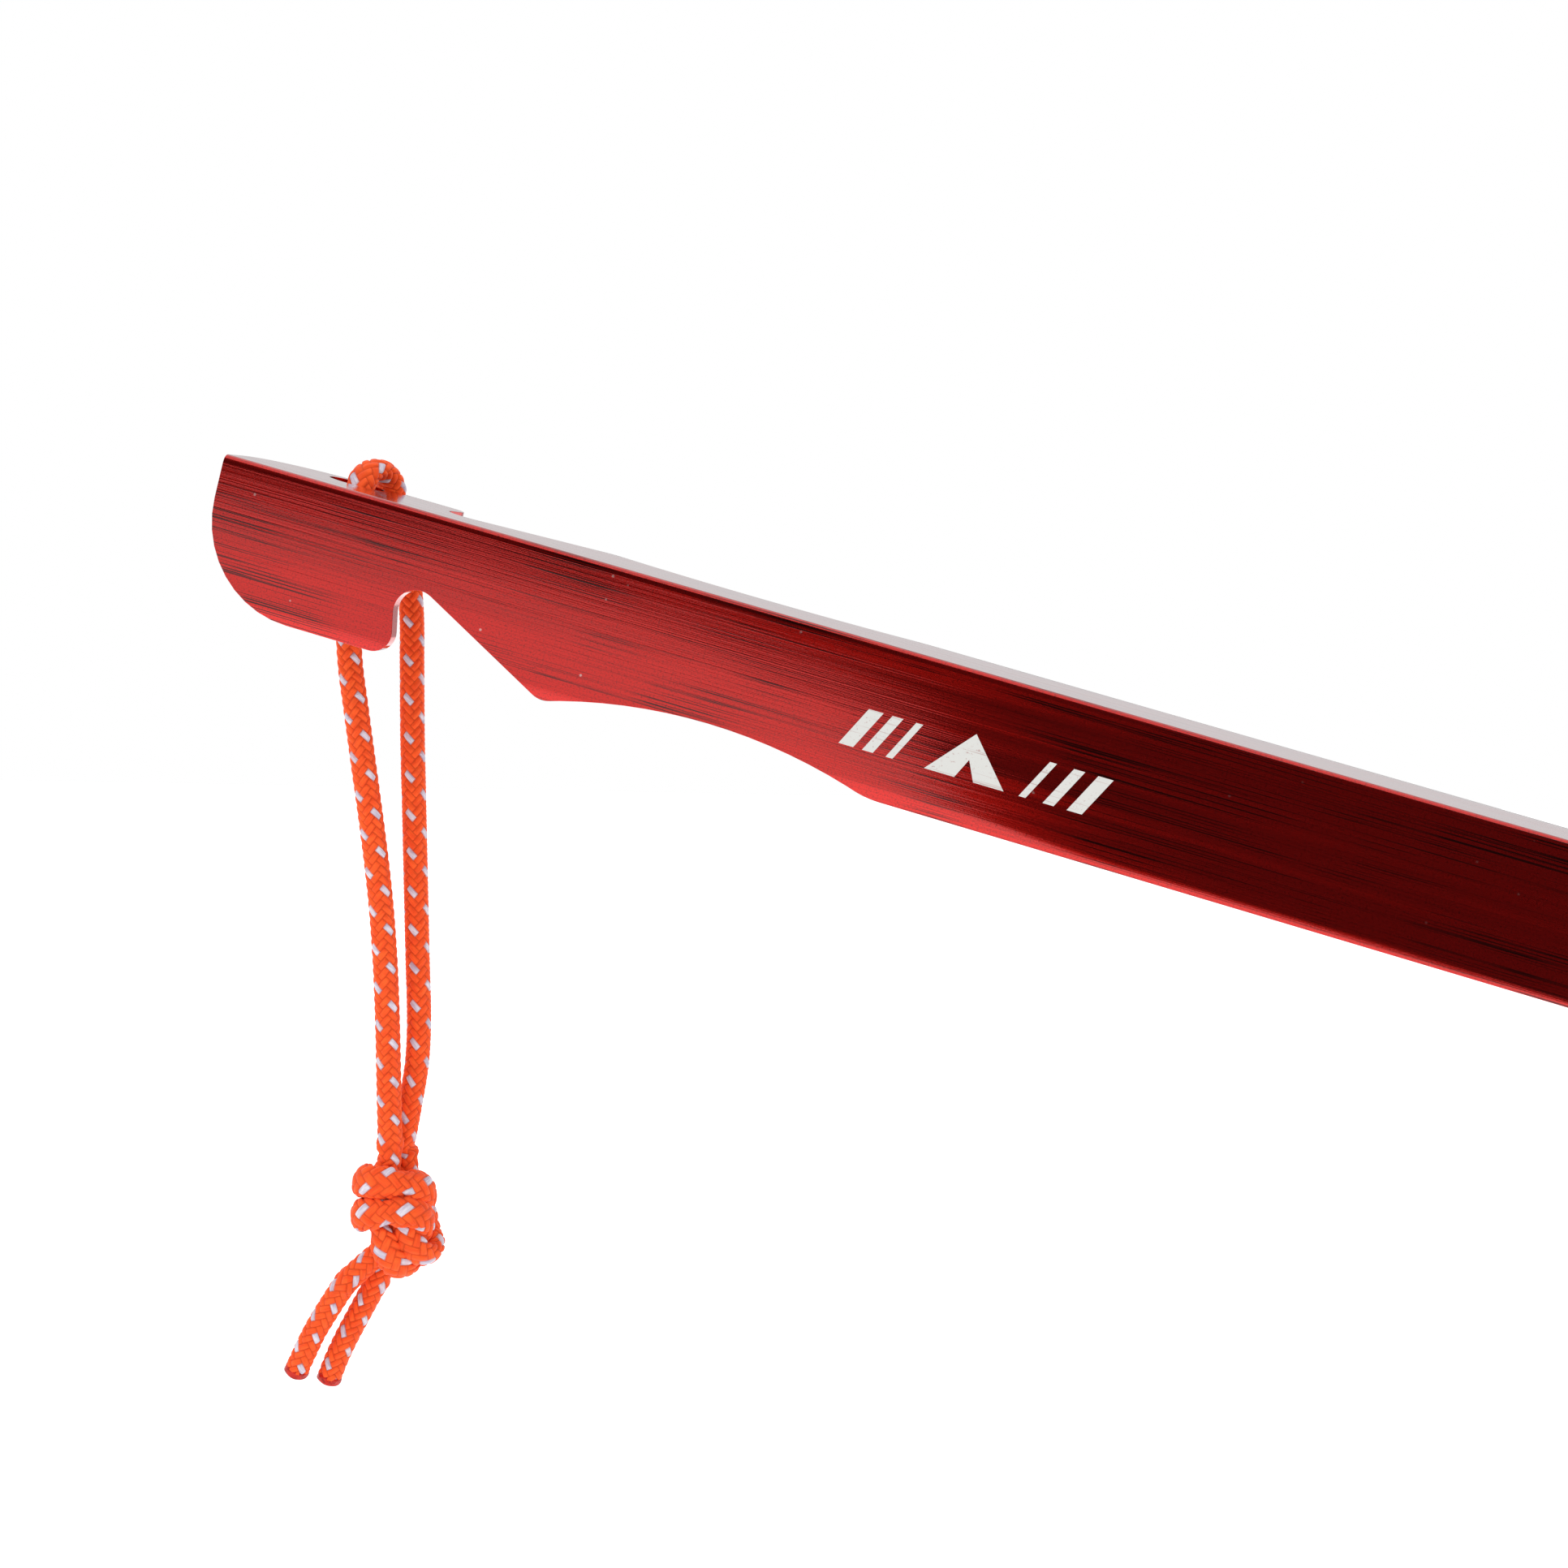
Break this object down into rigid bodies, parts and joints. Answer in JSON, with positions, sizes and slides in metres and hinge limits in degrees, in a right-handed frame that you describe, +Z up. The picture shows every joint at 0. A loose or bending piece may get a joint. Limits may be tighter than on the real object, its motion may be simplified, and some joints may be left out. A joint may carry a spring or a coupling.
{
  "type": "tent stake",
  "caption": "Angle-section aluminium tent stake with a hooked guyline notch, a tapered point and a knotted cord loop for pulling it out.",
  "frame": {"origin": "outer corner of the spine at the depth mark of the shaft, 110 mm from the head end", "axes": "+X level towards the tip side, +Y from the front flange towards the free edge of the rear flange, +Z up; the spine leans 15.5 degrees, tip down"},
  "size_m": [0.1751, 0.0186, 0.1021],
  "materials": {
    "anodised_aluminium": "extruded, red anodised, satin gloss with die lines",
    "white_ink": "pad-printed white ink",
    "braided_cord": "braided orange polyester with white reflective tracer yarns",
    "melted_cord_end": "heat-sealed cord end, dark and slightly glossy"
  },
  "bodies": {
    "stake": {"stake_body": "anodised_aluminium", "printed_mark": "white_ink"},
    "loop_bight": {"cord_bight": "braided_cord"},
    "pull_loop": {"strand_inner": "braided_cord", "strand_outer": "braided_cord", "knot": "braided_cord", "tail_front": "braided_cord", "tail_rear": "braided_cord", "melted_end_front": "melted_cord_end", "melted_end_rear": "melted_cord_end"}
  },
  "joints": [
    {"name": "loop_swing", "type": "hinge", "parent": "stake", "child": "loop_bight", "pos_m": [-0.0951, 0.0144, 0.0256], "axis": [0.9636, 0, -0.2672], "range_deg": [-12, 84]},
    {"name": "loop_tilt", "type": "hinge", "parent": "loop_bight", "child": "pull_loop", "pos_m": [-0.0951, 0.0144, 0.0224], "axis": [-0.3048, -0.9524, 0], "range_deg": [-55, 38]}
  ]
}
